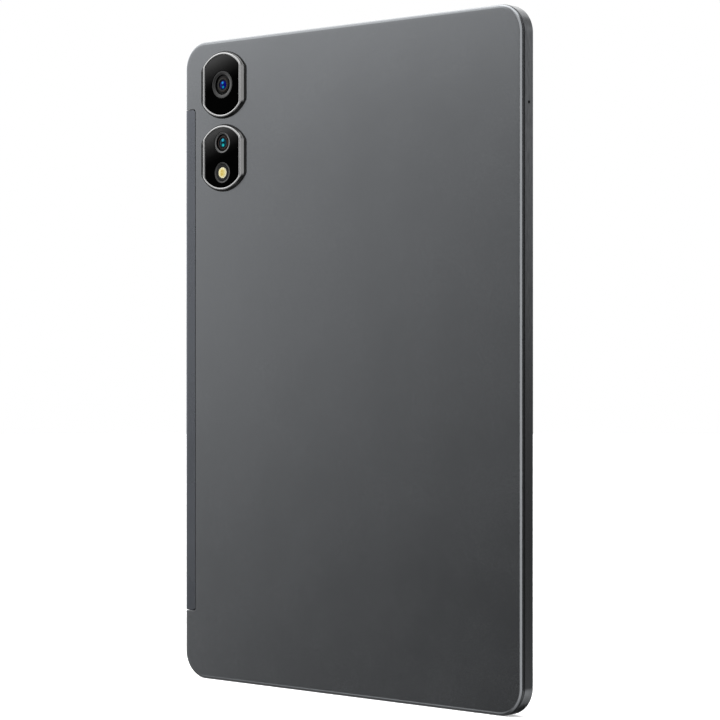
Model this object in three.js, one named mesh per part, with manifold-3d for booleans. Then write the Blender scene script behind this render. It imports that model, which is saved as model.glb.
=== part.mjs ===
// An 11-inch tablet computer, standing upright on its bottom short edge, back face towards -Y.
// X runs to the right as seen from behind, Y from the back face to the screen, Z up. Millimetres.
import * as THREE from "three";
import { mergeVertices } from "three/addons/utils/BufferGeometryUtils.js";
import Module from "manifold-3d";

// Driving dimensions ------------------------------------------------------------------------
const BODY = { width: 169, height: 257, corner: 10.8 };
const BACK_Y = -3.5; // back face of the housing
const RIM_Y = 3.15; // front edge of the housing's side walls
const GLASS_Y = 3.9; // front of the cover glass
const EDGE = 1.6; // rounding between the back and the side walls
const WALL = 1.3; // side wall thickness
const BACK_T = 0.75; // back wall thickness
const GAP = 0.15; // clearance between pieces that are bonded or seated together
const KEY_GAP = 0.2; // clearance round the keys and the card tray
const PORT_Y = 0.6; // height of the ports and keys in the flat band of the side walls
const CLEAR = 5; // how far a cutter reaches past the body

const STRIP = { width: 6.1, length: 202.8, corner: 1.5 }; // antenna window on the left long edge
const CAMERA = { x: -62.56, upperZ: 238.6, lowerZ: 209.4 }; // centres of the two camera islands
const ISLAND = {
  hole: [21.1, 25.1, 12.55],
  base: [24.6, 26.9, 14.4],
  foot: [22.1, 26.3, 13.15],
  rim: [20.1, 25.3, 12.65],
  skirt: [20.8, 24.8, 12.4],
  glassHole: [18.1, 23.7, 11.85],
  glass: [17.9, 23.5, 11.75],
}; // each outline's width, height and arc radius
const ISLAND_CORNER = 1.6;
const BASE = { bottom: 0.05, top: 0.25 }; // heights above the back face
const TRIM = { skirt: -0.75, skirtTop: 0.35, bottom: 0.3, top: 1.25 };
const CAMERA_GLASS = { bottom: 0.4, top: 1.15 };
const MAIN_LENS = { hole: 5.65, ring: 5.5, bore: 4.02, core: 2.75, lens: 1.75, half: 5.2 };
const SECOND_LENS = { hole: 4.35, ring: 4.22, bore: 3.4, core: 2.5, lens: 1.9, half: 4.2 };
const FLASH_LENS = 2.45;
const RING = { bottom: 0.3, outer: 0.95, crest: 1, inner: 0.8, lip: 0.2 }; // heights, and the crest's inset
const LENS_DOME = { bottom: 0.15, edge: 0.3, crown: 0.5 };
const FLASH_DOME = { bottom: 0.4, edge: 0.95, crown: 1.15 };
const FLASH = { half: 3.4, base: -2.4, top: -0.6, cup: 3.3, floor: -1.3, rim: 0.85, seat: 0.3 };
const LOWER_OFFSET = 6; // second lens above, and flash below, the lower island's centre

const DISPLAY = { width: 152, height: 240.2, corner: 1 };
const DISPLAY_LAYERS = { lcd: [2.1, 2.95], backlight: [1.35, 2], support: [0.9, 1.2] }; // backs and fronts
const FRONT_GLASS = { width: 164.4, height: 252.4, corner: 8.5, seat: 3.05, bevel: 0.35 };
const BEZEL = { back: 2.5, front: 3.45, gap: 0.1, window: [159, 247, 4] };
const GRILLE = { count: 5, pitch: 3.6, length: 2.6, width: 1.3 };
const POWER_KEY = { x: -62, length: 15, width: 2.2, flange: [1.8, 2.4] };
const VOLUME_KEY = { z: 203.5, length: 24, width: 2.2, flange: [1.7, 2.2], switchStep: 9 };
const KEY = { stand: 0.4, root: 2, bevel: 0.2, lip: 1, half: 1.5 }; // a cap, and the flange behind the wall
const TRAY = { y: -0.6, z: 41.3, length: 18, width: 2.2, root: -83 };
const CARRIER = { z: 40, width: 13.4, half: 0.45, start: -83.2, end: -60.3 };
const CARD = { length: 12.4, width: 9, starts: [-81.4, -70.9] }; // the carrier's pockets
const ROD = { z: 48.6, start: -82.6, end: -58.3, half: 0.4, pinhole: 0.45 };
const LEVER = { x: -57.6, z: 44.6, half: 0.4, low: 39.5, high: 49.3, eye: 1.1, bore: 0.6, pin: 0.5 };
const SLIDE = { outside: -84, end: -58.5, back: -1.6, front: 0.02, room: 0.3, rodRoom: 0.2 };
const LEVER_BAY = { start: -60.5, end: -55.1, low: 33, high: 50 };
const USB = { width: 8.94, height: 3.16, wall: 0.3, inset: 0.35, depth: 7.6, back: 0.6 };
const MIC = { z: 221.1, y: 0.45, radius: 0.6, bottomX: 16, sides: 12 };

// Inside the housing: each box's ends along X, Y and Z
const MAIN_BOARD = { x0: -50, x1: 78, y0: -1.3, y1: -0.5, z0: 205, z1: 243 };
const SUB_BOARD = { x0: -22, x1: 22, y0: -2.15, y1: -1.35, z0: 3, z1: 19 };
const BATTERY_BOARD = { x0: -56, x1: 56, y0: -1.5, y1: -0.7, z0: 197.5, z1: 202.5 };
const MAIN_FLEX = { x0: -2.2, x1: 2.2, y0: -2.45, y1: -2.3, z0: 21, z1: 206 };
const DISPLAY_FLEX = { x0: 20, x1: 44, y0: 0.2, y1: 0.35, z0: 200, z1: 216 };
const KEY_FLEX = { x0: -81.1, x1: -80.9, y0: -1, y1: 1.5, z0: 189, z1: 218 };
const PROCESSOR_SHIELD = { x0: -32, x1: 8, y0: -0.4, y1: 0.3, z0: 211, z1: 238 };
const RADIO_SHIELD = { x0: 50, x1: 70, y0: -0.4, y1: 0.3, z0: 212, z1: 236 };
const CARD_SOCKET = { x0: -82.9, x1: -54.5, y0: -2.45, y1: 0.15, z0: 31.6, z1: 50.6 };
const CELL = { width: 68, height: 142, gap: 6, z: 125, y0: -2.2, y1: 0.3, corner: 2, bevel: 0.6 };
const SPEAKER = { x: 38, half: 14, back: -2.4, front: 1.7, step: 0.3, z0: 2.2, z1: 6.5, z2: 12.8 };
const CLOTH = { half: 10, halfWidth: 1, offset: 0.3, thickness: 0.3 };
const MIC_CAN = { half: 1.6, halfWidth: 1.1, offset: 0.3, depth: 1.3 };
const SWITCH = { half: 2, halfWidth: 1.2, depth: 1.2, offset: 3 };
const SIDE_SWITCH = { half: 1.5, halfWidth: 1.2, depth: 0.8, offset: 2.5 };
const FRONT_CAMERA = { x: -78, inner: 2.4, outer: 2.9, y0: -2.3, y1: 0.4, barrel: 1.4, front: 2.85 };
const CAMERA_MODULE = { back: 0.3, base: -2.4, floor: -1.3, rim: 0.6, step: 0.25, seat: 0.05 };
const SCREW_INSET = 4; // from a board's edges to its screws

const LEFT = -BODY.width / 2;
const RIGHT = BODY.width / 2;
const TOP = BODY.height;
const MIDDLE_Z = BODY.height / 2;
const INNER_BACK = BACK_Y + BACK_T;
const INNER_LEFT = LEFT + WALL;
const INNER_TOP = TOP - WALL;

// Solids --------------------------------------------------------------------------------------
const wasm = await Module();
wasm.setup();

const AXIS = {
  x: new THREE.Vector3(1, 0, 0),
  y: new THREE.Vector3(0, 1, 0),
  z: new THREE.Vector3(0, 0, 1),
  minusY: new THREE.Vector3(0, -1, 0),
};

function solidOf(geometry) {
  const bare = geometry.clone();
  bare.deleteAttribute("normal");
  bare.deleteAttribute("uv");
  const merged = mergeVertices(bare, 1e-4);
  return new wasm.Manifold(
    new wasm.Mesh({
      numProp: 3,
      vertProperties: merged.attributes.position.array,
      triVerts: new Uint32Array(merged.index.array),
    }),
  );
}

function geometryOf(solid) {
  const { vertProperties, triVerts } = solid.getMesh();
  const geometry = new THREE.BufferGeometry();
  geometry.setAttribute("position", new THREE.BufferAttribute(vertProperties, 3));
  geometry.setIndex(new THREE.BufferAttribute(triVerts, 1));
  geometry.computeVertexNormals();
  return geometry;
}

function cut(geometry, ...tools) {
  return geometryOf(tools.reduce((rest, tool) => rest.subtract(solidOf(tool)), solidOf(geometry)));
}

function join(first, ...others) {
  return geometryOf(others.reduce((whole, other) => whole.add(solidOf(other)), solidOf(first)));
}

function common(a, b) {
  return geometryOf(solidOf(a).intersect(solidOf(b)));
}

// Outlines ------------------------------------------------------------------------------------
function roundedRect(width, height, radius, cx = 0, cy = 0) {
  const x = width / 2 - radius;
  const y = height / 2 - radius;
  const shape = new THREE.Shape();
  shape.absarc(cx + x, cy - y, radius, -Math.PI / 2, 0);
  shape.absarc(cx + x, cy + y, radius, 0, Math.PI / 2);
  shape.absarc(cx - x, cy + y, radius, Math.PI / 2, Math.PI);
  shape.absarc(cx - x, cy - y, radius, Math.PI, 1.5 * Math.PI);
  return shape;
}

// A slot outline: fully rounded ends, with a short straight left at the tip.
function stadium(width, height, cx, cy) {
  const straight = 0.08;
  return roundedRect(width, height, Math.min(width, height) / 2 - straight, cx, cy);
}

// A circle with straight sides: two arcs of one radius, with the corners where they meet the sides rounded.
function islandOutline([width, height, radius], cx, cz) {
  const half = width / 2;
  const centre = height / 2 - radius;
  const cornerX = half - ISLAND_CORNER;
  const cornerZ = centre + Math.sqrt((radius - ISLAND_CORNER) ** 2 - cornerX ** 2);
  const angle = Math.atan2(cornerZ - centre, cornerX);
  const shape = new THREE.Shape();
  shape.absarc(cx + cornerX, cz + cornerZ, ISLAND_CORNER, 0, angle);
  shape.absarc(cx, cz + centre, radius, angle, Math.PI - angle);
  shape.absarc(cx - cornerX, cz + cornerZ, ISLAND_CORNER, Math.PI - angle, Math.PI);
  shape.absarc(cx - cornerX, cz - cornerZ, ISLAND_CORNER, Math.PI, Math.PI + angle);
  shape.absarc(cx, cz - centre, radius, Math.PI + angle, 2 * Math.PI - angle);
  shape.absarc(cx + cornerX, cz - cornerZ, ISLAND_CORNER, 2 * Math.PI - angle, 2 * Math.PI);
  return shape;
}

// Extrusions ----------------------------------------------------------------------------------
function extruded(shape, depth, segments, bevel = 0, bevelSegments = 3) {
  return new THREE.ExtrudeGeometry(shape, {
    depth: depth - 2 * bevel,
    curveSegments: segments,
    bevelEnabled: bevel > 0,
    bevelSize: bevel,
    bevelThickness: bevel,
    bevelOffset: -bevel,
    bevelSegments,
  }).translate(0, 0, bevel);
}

// A shape drawn in X and Z, from y0 to y1.
function plateY(shape, y0, y1, segments = 3, bevel = 0, bevelSegments = 3) {
  const turn = new THREE.Matrix4().makeBasis(AXIS.x, AXIS.z, AXIS.minusY);
  return extruded(shape, y1 - y0, segments, bevel, bevelSegments).applyMatrix4(turn).translate(0, y1, 0);
}

// A shape drawn in Y and Z, from x0 to x1.
function plateX(shape, x0, x1, segments = 3, bevel = 0) {
  const turn = new THREE.Matrix4().makeBasis(AXIS.y, AXIS.z, AXIS.x);
  return extruded(shape, x1 - x0, segments, bevel, 1).applyMatrix4(turn).translate(x0, 0, 0);
}

// A shape drawn in X and Y, from z0 to z1.
function plateZ(shape, z0, z1, segments = 3, bevel = 0) {
  return extruded(shape, z1 - z0, segments, bevel, 1).translate(0, 0, z0);
}

// A box between two ends on each axis.
const boxOf = ({ x0, x1, y0, y1, z0, z1 }) => block(x0, x1, y0, y1, z0, z1);

function block(x0, x1, y0, y1, z0, z1) {
  const box = new THREE.BoxGeometry(x1 - x0, y1 - y0, z1 - z0);
  return box.translate((x0 + x1) / 2, (y0 + y1) / 2, (z0 + z1) / 2);
}

// A cylinder along Y.
function peg(radius, y0, y1, x, z, sides = 12) {
  return new THREE.CylinderGeometry(radius, radius, y1 - y0, sides).translate(x, (y0 + y1) / 2, z);
}

// A turned piece on the axis through x and z, from [radius, height above the back face] points.
function turned(profile, x, z, sides = 32) {
  const points = profile.map(([radius, height]) => new THREE.Vector2(radius, height));
  const turn = new THREE.Matrix4().makeBasis(AXIS.x, AXIS.minusY, new THREE.Vector3(0, 0, -1));
  return new THREE.LatheGeometry(points, sides).applyMatrix4(turn).translate(x, BACK_Y, z);
}

// The assembly ----------------------------------------------------------------------------------
const tablet = new THREE.Group();

function add(name, geometry, color, roughness, metalness) {
  const material = new THREE.MeshStandardMaterial({ color, roughness, metalness });
  const mesh = new THREE.Mesh(geometry, material);
  mesh.name = name;
  tablet.add(mesh);
}

const FINISH = {
  anodised: [0x5f6366, 0.45, 0.9],
  stripPlastic: [0x565a60, 0.6, 0],
  blackPlastic: [0x111213, 0.5, 0],
  blackGlass: [0x050506, 0.05, 0],
  polished: [0xb9bcc0, 0.2, 1],
  steel: [0x9a9da0, 0.35, 1],
  board: [0x12402c, 0.5, 0],
  flex: [0xa8641c, 0.5, 0],
  cell: [0x202226, 0.6, 0],
  reflector: [0xe8e8e6, 0.6, 0],
  panel: [0x15171b, 0.3, 0],
  cloth: [0x1a1b1c, 0.9, 0],
  blueLens: [0x0a1a5c, 0.05, 0],
  tealLens: [0x0b6f78, 0.05, 0],
  flashLens: [0xf4ecc0, 0.2, 0],
}; // colour, roughness and metalness

// Housing and antenna strip ---------------------------------------------------------------------
const bodyOutline = (inset) =>
  roundedRect(BODY.width - 2 * inset, BODY.height - 2 * inset, BODY.corner - inset, 0, MIDDLE_Z);

function shell() {
  const long = plateY(bodyOutline(0), BACK_Y, RIM_Y + 2 * EDGE, 3, EDGE, 4);
  const kept = block(LEFT - CLEAR, RIGHT + CLEAR, BACK_Y - CLEAR, RIM_Y, -CLEAR, TOP + CLEAR);
  return cut(common(long, kept), plateY(bodyOutline(WALL), INNER_BACK, RIM_Y + CLEAR));
}

function stripRegion(inset) {
  const width = STRIP.width + CLEAR - inset;
  const x = LEFT - CLEAR + width / 2;
  const outline = roundedRect(width, STRIP.length - 2 * inset, STRIP.corner, x, MIDDLE_Z);
  return plateY(outline, BACK_Y - CLEAR, RIM_Y + CLEAR, 1);
}

function grilleSlots(x, z0, z1) {
  return Array.from({ length: GRILLE.count }, (_, i) => {
    const slotX = x + (i - (GRILLE.count - 1) / 2) * GRILLE.pitch;
    return plateZ(stadium(GRILLE.length, GRILLE.width, slotX, PORT_Y), z0, z1, 1);
  });
}

const SCREW = { head: 1.4, headHeight: 0.45, lift: 0.1, shank: 0.55, length: 1.1, bossRadius: 2, hole: 0.7 };
const screwsOf = ({ x0, x1, z0, z1, y0, y1 }, rows) =>
  rows.flatMap((z) => [x0 + SCREW_INSET, x1 - SCREW_INSET].map((x) => ({ x, z, y0, y1 })));
const SCREWS = [
  ...screwsOf(MAIN_BOARD, [MAIN_BOARD.z0 + SCREW_INSET, MAIN_BOARD.z1 - SCREW_INSET]),
  ...screwsOf(SUB_BOARD, [SUB_BOARD.z1 - SCREW_INSET]),
];

function housing() {
  const bosses = SCREWS.map(({ x, z, y0 }) => peg(SCREW.bossRadius, INNER_BACK - GAP, y0 - GAP, x, z, 10));
  const bossHoles = SCREWS.map(({ x, z, y1 }) => peg(SCREW.hole, INNER_BACK + 0.05, y1, x, z, 8));
  const islands = [CAMERA.upperZ, CAMERA.lowerZ].map((z) =>
    plateY(islandOutline(ISLAND.hole, CAMERA.x, z), BACK_Y - 1, INNER_BACK + 1),
  );
  const grilles = [-SPEAKER.x, SPEAKER.x].flatMap((x) => [
    ...grilleSlots(x, -1, WALL + 1),
    ...grilleSlots(x, INNER_TOP - 1, TOP + 1),
  ]);
  const { x, length, width } = POWER_KEY;
  const powerOutline = stadium(length + 2 * KEY_GAP, width + 2 * KEY_GAP, x, PORT_Y);
  const powerSlot = plateZ(powerOutline, INNER_TOP - 1, TOP + 1);
  const usbSlot = plateZ(stadium(USB.width + 2 * GAP, USB.height + 2 * GAP, 0, PORT_Y), -1, WALL + 1);
  const micHole = () => new THREE.CylinderGeometry(MIC.radius, MIC.radius, 2 * WALL + 1, MIC.sides);
  const sideMic = micHole().rotateZ(Math.PI / 2).translate(RIGHT - WALL / 2, MIC.y, MIC.z);
  const bottomMic = micHole().rotateX(Math.PI / 2).translate(MIC.bottomX, MIC.y, WALL / 2);
  const openings = [stripRegion(0), ...islands, ...grilles, powerSlot, usbSlot, sideMic, bottomMic];
  return cut(join(shell(), ...bosses), ...bossHoles, ...openings);
}

function antennaStrip() {
  const slot = ({ width, length, z }, y) =>
    plateX(stadium(width + 2 * KEY_GAP, length + 2 * KEY_GAP, y, z), LEFT - 1, INNER_LEFT + 1);
  const volumeSlot = slot(VOLUME_KEY, PORT_Y);
  const traySlot = slot(TRAY, TRAY.y);
  return cut(common(shell(), stripRegion(GAP)), volumeSlot, traySlot);
}

add("rear_housing", housing(), ...FINISH.anodised);
add("antenna_strip", antennaStrip(), ...FINISH.stripPlastic);

// Display stack -----------------------------------------------------------------------------------
function glassOutline(grow) {
  const { width, height, corner } = FRONT_GLASS;
  return roundedRect(width + 2 * grow, height + 2 * grow, corner + grow, 0, MIDDLE_Z);
}

function displayBezel() {
  const ring = plateY(bodyOutline(WALL + BEZEL.gap), BEZEL.back, BEZEL.front);
  const pocket = plateY(glassOutline(BEZEL.gap), FRONT_GLASS.seat, GLASS_Y + 1);
  const window = plateY(roundedRect(...BEZEL.window, 0, MIDDLE_Z), 0, GLASS_Y + 1, 2);
  return cut(ring, pocket, window);
}

function displayPlate(inset, [back, front]) {
  const { width, height, corner } = DISPLAY;
  return plateY(roundedRect(width - 2 * inset, height - 2 * inset, corner, 0, MIDDLE_Z), back, front, 1);
}

const coverGlass = plateY(glassOutline(0), FRONT_GLASS.seat + BEZEL.gap, GLASS_Y, 3, FRONT_GLASS.bevel, 2);
add("display_bezel", displayBezel(), ...FINISH.blackPlastic);
add("cover_glass", coverGlass, ...FINISH.blackGlass);
add("lcd_panel", displayPlate(0.5, DISPLAY_LAYERS.lcd), ...FINISH.panel);
add("backlight_unit", displayPlate(0, DISPLAY_LAYERS.backlight), ...FINISH.reflector);
add("support_plate", displayPlate(1, DISPLAY_LAYERS.support), ...FINISH.steel);

// Battery, boards and flexes -----------------------------------------------------------------------
for (const [name, side] of [["battery_cell_left", -1], ["battery_cell_right", 1]]) {
  const x = (side * (CELL.width + CELL.gap)) / 2;
  const outline = roundedRect(CELL.width, CELL.height, CELL.corner, x, CELL.z);
  add(name, plateY(outline, CELL.y0, CELL.y1, 1, CELL.bevel, 1), ...FINISH.cell);
}
add("battery_board", boxOf(BATTERY_BOARD), ...FINISH.board);

function board(box) {
  const itsScrews = SCREWS.filter((screw) => screw.y0 === box.y0);
  const holes = itsScrews.map(({ x, z }) => peg(SCREW.hole + 0.1, box.y0 - 1, box.y1 + 1, x, z, 8));
  return cut(boxOf(box), ...holes);
}
add("main_board", board(MAIN_BOARD), ...FINISH.board);
add("sub_board", board(SUB_BOARD), ...FINISH.board);
SCREWS.forEach(({ x, z, y1 }, i) => {
  const head = y1 + SCREW.lift;
  const height = (y) => BACK_Y - y; // turned() measures heights outwards from the back face
  const profile = [
    [0, height(head + SCREW.headHeight)],
    [SCREW.head, height(head + SCREW.headHeight)],
    [SCREW.head, height(head)],
    [SCREW.shank, height(head)],
    [SCREW.shank, height(y1 - SCREW.length)],
    [0, height(y1 - SCREW.length)],
  ];
  add("board_screw_" + (i + 1), turned(profile, x, z, 10), ...FINISH.steel);
});

// A pressed lid with rounded corners and edges.
function shieldLid({ x0, x1, y0, y1, z0, z1 }) {
  const outline = roundedRect(x1 - x0, z1 - z0, 0.8, (x0 + x1) / 2, (z0 + z1) / 2);
  return plateY(outline, y0, y1, 1, 0.15, 1);
}
add("processor_shield", shieldLid(PROCESSOR_SHIELD), ...FINISH.steel);
add("radio_shield", shieldLid(RADIO_SHIELD), ...FINISH.steel);
add("main_flex", boxOf(MAIN_FLEX), ...FINISH.flex);
add("display_flex", boxOf(DISPLAY_FLEX), ...FINISH.flex);

// USB-C port -----------------------------------------------------------------------------------------
const TONGUE = { half: 3.35, halfHeight: 0.35, start: 1.6, end: USB.depth - USB.back - 0.1 };
function usbShell() {
  const outer = stadium(USB.width, USB.height, 0, PORT_Y);
  const inner = stadium(USB.width - 2 * USB.wall, USB.height - 2 * USB.wall, 0, PORT_Y);
  return cut(plateZ(outer, USB.inset, USB.depth, 2), plateZ(inner, 0, USB.depth - USB.back, 2));
}
function usbTongue() {
  const { half, halfHeight, start, end } = TONGUE;
  return block(-half, half, PORT_Y - halfHeight, PORT_Y + halfHeight, start, end);
}
add("usb_c_shell", usbShell(), ...FINISH.steel);
add("usb_c_tongue", usbTongue(), ...FINISH.blackPlastic);

// Speakers, grille meshes and microphones ------------------------------------------------------------
function speaker(side, atTop) {
  const { half, back, front, step, z0, z1, z2 } = SPEAKER;
  const corners = [[back, z0], [front, z0], [front, z1], [step, z1], [step, z2], [back, z2]];
  const profile = new THREE.Shape(corners.map(([y, z]) => new THREE.Vector2(y, z)));
  const x = side * SPEAKER.x;
  const made = plateX(profile, x - half, x + half);
  return atTop ? made.rotateY(Math.PI).translate(2 * x, 0, TOP) : made;
}

function speakerCloth(side, atTop) {
  const { half, halfWidth, offset, thickness } = CLOTH;
  const x = side * SPEAKER.x;
  const z = atTop ? INNER_TOP - offset - thickness : WALL + offset;
  return block(x - half, x + half, PORT_Y - halfWidth, PORT_Y + halfWidth, z, z + thickness);
}

for (const [end, atTop] of [["bottom", false], ["top", true]]) {
  for (const [label, side] of [["left", -1], ["right", 1]]) {
    add(`speaker_${end}_${label}`, speaker(side, atTop), ...FINISH.blackPlastic);
    add(`speaker_mesh_${end}_${label}`, speakerCloth(side, atTop), ...FINISH.cloth);
  }
}

function sideMicrophone() {
  const { half, halfWidth, offset, depth } = MIC_CAN;
  const x = RIGHT - WALL - offset;
  return block(x - depth, x, MIC.y - halfWidth, MIC.y + halfWidth, MIC.z - half, MIC.z + half);
}

function bottomMicrophone() {
  const { half, halfWidth, offset, depth } = MIC_CAN;
  const z = WALL + offset;
  return block(MIC.bottomX - half, MIC.bottomX + half, MIC.y - halfWidth, MIC.y + halfWidth, z, z + depth);
}
add("side_microphone", sideMicrophone(), ...FINISH.steel);
add("bottom_microphone", bottomMicrophone(), ...FINISH.steel);

// Keys and their switches ----------------------------------------------------------------------------
function powerButton() {
  const { x, length, width, flange } = POWER_KEY;
  const half = length / 2 + KEY.lip;
  const cap = plateZ(stadium(length, width, x, PORT_Y), TOP - KEY.root, TOP + KEY.stand, 3, KEY.bevel);
  const z = flange.map((depth) => TOP - depth);
  return join(cap, block(x - half, x + half, PORT_Y - KEY.half, PORT_Y + KEY.half, z[1], z[0]));
}

function volumeRocker() {
  const { z, length, width, flange } = VOLUME_KEY;
  const half = length / 2 + KEY.lip;
  const cap = plateX(stadium(width, length, PORT_Y, z), LEFT - KEY.stand, LEFT + KEY.root, 3, KEY.bevel);
  const x = flange.map((depth) => LEFT + depth);
  return join(cap, block(x[0], x[1], PORT_Y - KEY.half, PORT_Y + KEY.half, z - half, z + half));
}

function powerSwitch() {
  const { half, halfWidth, depth, offset } = SWITCH;
  const z = TOP - offset;
  return block(POWER_KEY.x - half, POWER_KEY.x + half, PORT_Y - halfWidth, PORT_Y + halfWidth, z - depth, z);
}

function volumeSwitch(z) {
  const { half, halfWidth, depth, offset } = SIDE_SWITCH;
  const x = LEFT + offset;
  return block(x, x + depth, PORT_Y - halfWidth, PORT_Y + halfWidth, z - half, z + half);
}
add("power_button", powerButton(), ...FINISH.anodised);
add("power_switch", powerSwitch(), ...FINISH.steel);
add("volume_rocker", volumeRocker(), ...FINISH.anodised);
add("volume_up_switch", volumeSwitch(VOLUME_KEY.z + VOLUME_KEY.switchStep), ...FINISH.steel);
add("volume_down_switch", volumeSwitch(VOLUME_KEY.z - VOLUME_KEY.switchStep), ...FINISH.steel);
add("key_flex", boxOf(KEY_FLEX), ...FINISH.flex);

// Card tray, its socket and the ejector ----------------------------------------------------------------
function cardTray() {
  const head = plateX(stadium(TRAY.width, TRAY.length, TRAY.y, TRAY.z), LEFT, TRAY.root, 3);
  const { z, width, half, start, end } = CARRIER;
  const carrier = block(start, end, TRAY.y - half, TRAY.y + half, z - width / 2, z + width / 2);
  const pockets = CARD.starts.map((x) =>
    block(x, x + CARD.width, TRAY.y - 1, TRAY.y + 1, z - CARD.length / 2, z + CARD.length / 2),
  );
  const pinhole = new THREE.CylinderGeometry(ROD.pinhole, ROD.pinhole, 2 * CLEAR, 10)
    .rotateZ(Math.PI / 2)
    .translate(LEFT, TRAY.y, ROD.z);
  return cut(join(head, carrier), ...pockets, pinhole);
}

// A can with a channel for the carrier, one for the rod, a bay for the lever, and the lever's pin.
function cardSocket() {
  const { outside, end, back, front, room, rodRoom } = SLIDE;
  const half = CARRIER.width / 2 + room;
  const slide = block(outside, end, back, front, CARRIER.z - half, CARRIER.z + half);
  const reach = ROD.half + rodRoom;
  const channel = block(outside, end, TRAY.y - reach, TRAY.y + reach, ROD.z - reach, ROD.z + reach);
  const bay = block(LEVER_BAY.start, LEVER_BAY.end, back, front, LEVER_BAY.low, LEVER_BAY.high);
  const pin = peg(LEVER.pin, back - 0.1, front + 0.08, LEVER.x, LEVER.z, 12);
  return join(cut(boxOf(CARD_SOCKET), slide, channel, bay), pin);
}

function ejectRod() {
  const { z, start, end, half } = ROD;
  return block(start, end, TRAY.y - half, TRAY.y + half, z - half, z + half);
}

function ejectLever() {
  const { x, z, half, low, high, eye, bore } = LEVER;
  const bar = block(x - half, x + half, TRAY.y - half, TRAY.y + half, low, high);
  const round = peg(eye, TRAY.y - half, TRAY.y + half, x, z, 14);
  return cut(join(bar, round), peg(bore, TRAY.y - 1, TRAY.y + 1, x, z, 12));
}
add("card_tray", cardTray(), ...FINISH.anodised);
add("card_socket", cardSocket(), ...FINISH.steel);
add("eject_rod", ejectRod(), ...FINISH.steel);
add("eject_lever", ejectLever(), ...FINISH.steel);

// Camera islands -----------------------------------------------------------------------------------------
const above = (height) => BACK_Y - height; // Y of a height above the back face
const islandPlate = (outline, z, low, high) =>
  plateY(islandOutline(outline, CAMERA.x, z), above(high), above(low), 3);

// Narrows an island plate towards its top, about the island's centre.
function tapered(geometry, z, low, high) {
  const at = geometry.attributes.position;
  const [footWidth, footHeight] = ISLAND.foot;
  const [rimWidth, rimHeight] = ISLAND.rim;
  for (let i = 0; i < at.count; i++) {
    const share = (above(low) - at.getY(i)) / (high - low);
    at.setX(i, CAMERA.x + (at.getX(i) - CAMERA.x) * (1 + share * (rimWidth / footWidth - 1)));
    at.setZ(i, z + (at.getZ(i) - z) * (1 + share * (rimHeight / footHeight - 1)));
  }
  return geometry;
}

function cameraTrim(z) {
  const wall = tapered(islandPlate(ISLAND.foot, z, TRIM.bottom, TRIM.top), z, TRIM.bottom, TRIM.top);
  const skirt = islandPlate(ISLAND.skirt, z, TRIM.skirt, TRIM.skirtTop);
  return cut(join(wall, skirt), islandPlate(ISLAND.glassHole, z, -CLEAR, CLEAR));
}

function cameraBase(z) {
  return cut(islandPlate(ISLAND.base, z, BASE.bottom, BASE.top), islandPlate(ISLAND.hole, z, -1, 1));
}

function cameraGlass(z, holes) {
  const plate = islandPlate(ISLAND.glass, z, CAMERA_GLASS.bottom, CAMERA_GLASS.top);
  return cut(plate, ...holes.map(([radius, dz]) => peg(radius, above(3), above(-1), CAMERA.x, z + dz, 32)));
}

// A dished metal ring round a lens: high at its outer edge, lower at its bore.
function dishedRing({ ring, bore }, z) {
  const { bottom, outer, crest, inner, lip } = RING;
  const profile = [
    [bore, bottom], [ring, bottom], [ring, outer],
    [ring - lip, crest], [bore, inner], [bore, bottom],
  ];
  return turned(profile, CAMERA.x, z);
}

// A square module with a stepped round barrel that fills its lens ring.
function cameraModule({ bore, core, lens, half }, z) {
  const { back, base, floor, rim, step, seat } = CAMERA_MODULE;
  const body = block(CAMERA.x - half, CAMERA.x + half, base, back, z - half, z + half);
  const outer = bore - 0.1;
  const well = lens + 0.15;
  const profile = [
    [0, floor], [outer, floor], [outer, step], [core, step],
    [core, rim], [well, rim], [well, seat], [0, seat],
  ];
  return join(body, turned(profile, CAMERA.x, z, 24));
}

function domedLens(radius, z, { bottom, edge, crown }) {
  const dome = [0.35, 0.7].map((share) => [
    radius * Math.cos((share * Math.PI) / 2),
    edge + (crown - edge) * Math.sin((share * Math.PI) / 2),
  ]);
  return turned([[0, bottom], [radius, bottom], [radius, edge], ...dome, [0, crown]], CAMERA.x, z, 20);
}

const secondZ = CAMERA.lowerZ + LOWER_OFFSET;
const flashZ = CAMERA.lowerZ - LOWER_OFFSET;
for (const [label, z] of [["upper", CAMERA.upperZ], ["lower", CAMERA.lowerZ]]) {
  const holes =
    label === "upper"
      ? [[MAIN_LENS.hole, 0]]
      : [[SECOND_LENS.hole, LOWER_OFFSET], [SECOND_LENS.hole, -LOWER_OFFSET]];
  add("camera_base_" + label, cameraBase(z), ...FINISH.blackPlastic);
  add("camera_trim_" + label, cameraTrim(z), ...FINISH.polished);
  add("camera_glass_" + label, cameraGlass(z, holes), ...FINISH.blackGlass);
}
add("main_lens_ring", dishedRing(MAIN_LENS, CAMERA.upperZ), ...FINISH.steel);
add("main_camera_module", cameraModule(MAIN_LENS, CAMERA.upperZ), ...FINISH.blackPlastic);
add("main_lens_element", domedLens(MAIN_LENS.lens, CAMERA.upperZ, LENS_DOME), ...FINISH.blueLens);
add("second_lens_ring", dishedRing(SECOND_LENS, secondZ), ...FINISH.steel);
add("second_camera_module", cameraModule(SECOND_LENS, secondZ), ...FINISH.blackPlastic);
add("second_lens_element", domedLens(SECOND_LENS.lens, secondZ, LENS_DOME), ...FINISH.tealLens);
add("flash_ring", dishedRing(SECOND_LENS, flashZ), ...FINISH.steel);

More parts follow.
